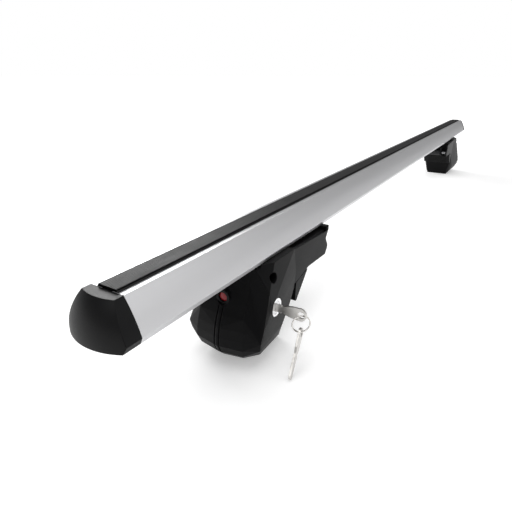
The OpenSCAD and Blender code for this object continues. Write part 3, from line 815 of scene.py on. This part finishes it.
@dataclass
class KeySet:
    """The key in the left lock, the ring and the spare key, in millimetres."""

    shop: Workshop
    nodes: Mapping[str, bpy.types.Object]
    hole_x: float = -18.501
    hole_y: float = -57.0
    ring_top: float = -40.85
    ring_r: float = 7.6
    ring_wire: float = 1.3
    ring_turn: float = 40.0
    ring_turns: float = 2.0
    ring_steps: int = 72
    wire_steps: int = 12
    # Share of the wire's size that a turn fills, so that the two turns don't merge
    fill: float = 0.94
    # Share left at the wire's cut ends, the place of those ends, and how sharply the wire crosses
    tip: float = 0.45
    first_end: float = 35.0
    crossing: float = 14.0

    def dress(self) -> None:
        """Gives both keys and the ring their finishes."""
        for name, slot in (("lock_key", "key_metal"), ("spare_key", "key_metal"),
                           ("key_ring", "ring_wire")):
            self.shop.finishes.wear(self.nodes[name], slot)

    def split_ring(self) -> None:
        """Winds the ring from two turns of flattened wire that lie side by side."""
        middle = Side.LEFT.spot(self.hole_x, self.hole_y, self.ring_top - self.ring_r)
        turned = Matrix.Rotation(math.radians(90.0 + self.ring_turn), 3, "Z")
        count = round(self.ring_turns * self.ring_steps)
        half = self.ring_wire / 4.0
        start = math.radians(self.first_end)
        spine: list[Vector] = []
        rows: list[list[Vector]] = []
        for index in range(count + 1):
            share = index / count
            angle = start + 2.0 * math.pi * self.ring_turns * share
            # The wire steps from one side of the ring to the other in the middle of its length
            shift = max(-1.0, min(1.0, (share - 0.5) * self.crossing)) * half
            out = Vector((math.cos(angle), 0.0, math.sin(angle)))
            side = Vector((0.0, 1.0, 0.0))
            spine.append(turned @ (out * self.ring_r + side * shift) * MM + middle)
            thin = self.tip if index in (0, count) else 1.0
            turns = (2.0 * math.pi * k / self.wire_steps for k in range(self.wire_steps))
            rows.append([turned @ (out * (math.cos(turn) * self.ring_wire / 2.0 * self.fill * thin)
                                   + side * (math.sin(turn) * half * self.fill * thin)) * MM
                         for turn in turns])
        shape = sweep(spine, lambda index: rows[index])
        self.shop.piece("split_ring", shape, "ring", "ring_wire", "key_ring")

    def build(self) -> None:
        """Dresses the keys and adds the ring's detail."""
        self.dress()
        self.split_ring()
        log.info("dressed the keys")


@dataclass(frozen=True)
class Lamp:
    """One soft rectangular lamp: its place and size in metres, its power in watts."""

    name: str
    at: Place
    size: tuple[float, float]
    power: float
    aim: ClassVar[Place] = (0.0, 0.0, -0.05)

    def hang(self) -> None:
        """Hangs the lamp so that it looks at the object."""
        data = bpy.data.lights.new(self.name, "AREA")
        data.shape = "RECTANGLE"
        data.size, data.size_y = self.size
        data.energy = self.power
        lamp = bpy.data.objects.new(self.name, data)
        lamp.location = self.at
        lamp.rotation_mode = "QUATERNION"
        lamp.rotation_quaternion = (Vector(self.aim) - Vector(self.at)).to_track_quat("-Z", "Y")
        bpy.context.scene.collection.objects.link(lamp)


@dataclass
class Studio:
    """Pale floor, soft lamps and the camera at the photograph's angle."""

    floor_z: float
    eye: Vector = field(default_factory=lambda: Vector((-0.7224, -0.1858, 0.1097)))
    azimuth: float = math.radians(-57.77)
    pitch: float = math.radians(22.98)
    lens: float = 29.92
    floor_half: float = 60.0
    air: float = 0.24
    paper: float = 0.80
    # Glow of the paper near the object, and where it begins and ends to reach full white
    glow: float = 0.34
    fade: tuple[float, float] = (0.4, 1.5)
    lamps: tuple[Lamp, ...] = (
        Lamp("top_box", (-0.3, 0.1, 1.9), (2.0, 1.6), 24.0),
        Lamp("back_box", (0.35, 1.15, 0.55), (0.9, 0.5), 16.0),
        Lamp("left_box", (-2.0, 0.2, 1.2), (0.8, 0.8), 6.0),
        Lamp("front_box", (0.3, -1.7, 0.9), (2.2, 1.0), 9.0),
    )

    def camera(self) -> None:
        """Makes the camera."""
        data = bpy.data.cameras.new("view")
        data.lens = self.lens
        data.sensor_width = 36.0
        data.clip_start = 0.01
        data.clip_end = 400.0
        camera = bpy.data.objects.new("view", data)
        ahead = Vector((-math.sin(self.azimuth) * math.cos(self.pitch),
                        math.cos(self.azimuth) * math.cos(self.pitch), -math.sin(self.pitch)))
        camera.location = self.eye
        camera.rotation_mode = "QUATERNION"
        camera.rotation_quaternion = ahead.to_track_quat("-Z", "Y")
        bpy.context.scene.collection.objects.link(camera)
        bpy.context.scene.camera = camera

    def floor(self) -> None:
        """Lays a wide pale floor that the camera sees as white but for shadows."""
        shape = bmesh.new()
        bmesh.ops.create_grid(shape, x_segments=1, y_segments=1, size=self.floor_half)
        mesh = bpy.data.meshes.new("studio_floor")
        shape.to_mesh(mesh)
        shape.free()
        floor = bpy.data.objects.new("studio_floor", mesh)
        floor.location = (0.0, 0.0, self.floor_z)
        bpy.context.scene.collection.objects.link(floor)
        book = NodeBook("studio_paper")
        seen = book.node("ShaderNodeLightPath", out="Is Camera Ray")
        mirrored = book.node("ShaderNodeLightPath", out="Is Glossy Ray")
        through = book.node("ShaderNodeLightPath", out="Is Transmission Ray")
        # Far from the object the lamps fade out, and the paper's own glow takes over
        away = book.node("ShaderNodeVectorMath", {"operation": "LENGTH"},
                         {0: book.place()}, out="Value")
        strength = self.glow + away.step(*self.fade) * (1.0 - self.glow)
        glow = book.node("ShaderNodeEmission", None,
                         {"Color": (1.0, 1.0, 1.0, 1.0), "Strength": strength})
        paper = book.node("ShaderNodeBsdfDiffuse", None, {"Color": (self.paper,) * 3})
        both = book.node("ShaderNodeAddShader", None, {0: paper, 1: glow})
        shown = seen.at_least(mirrored).at_least(through)
        mesh.materials.append(book.end(book.blend(shown, paper, both)))
        floor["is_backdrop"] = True

    def world(self) -> None:
        """Sets the plain surroundings, white where the camera sees them."""
        world = bpy.data.worlds.new("studio_air")
        world.use_nodes = True
        tree = world.node_tree
        tree.nodes.clear()
        path = tree.nodes.new("ShaderNodeLightPath")
        dim = tree.nodes.new("ShaderNodeBackground")
        dim.inputs["Strength"].default_value = self.air
        white = tree.nodes.new("ShaderNodeBackground")
        white.inputs["Strength"].default_value = 1.0
        for shader in (dim, white):
            shader.inputs["Color"].default_value = (1.0, 1.0, 1.0, 1.0)
        mix = tree.nodes.new("ShaderNodeMixShader")
        end = tree.nodes.new("ShaderNodeOutputWorld")
        tree.links.new(path.outputs["Is Camera Ray"], mix.inputs[0])
        tree.links.new(dim.outputs[0], mix.inputs[1])
        tree.links.new(white.outputs[0], mix.inputs[2])
        tree.links.new(mix.outputs[0], end.inputs["Surface"])
        bpy.context.scene.world = world

    def build(self) -> None:
        """Makes the whole studio."""
        self.camera()
        self.floor()
        self.world()
        for lamp in self.lamps:
            lamp.hang()
            log.info("lamp %s", lamp.name)
        bpy.context.scene.view_settings.view_transform = "Standard"


def main() -> None:
    """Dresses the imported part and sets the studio."""
    logging.basicConfig(level=logging.INFO, format="%(name)s: %(message)s")
    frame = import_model()
    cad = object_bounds()
    Studio(floor_z=float(cad[0][2])).build()
    finishes = Finishes()
    finishes.build()
    shop = Workshop(finishes)
    nodes = frame["nodes"]
    Bar(shop, nodes).build()
    for side in Side:
        Foot(side, shop, nodes).build()
    KeySet(shop, nodes).build()


if __name__ == "__main__":
    main()
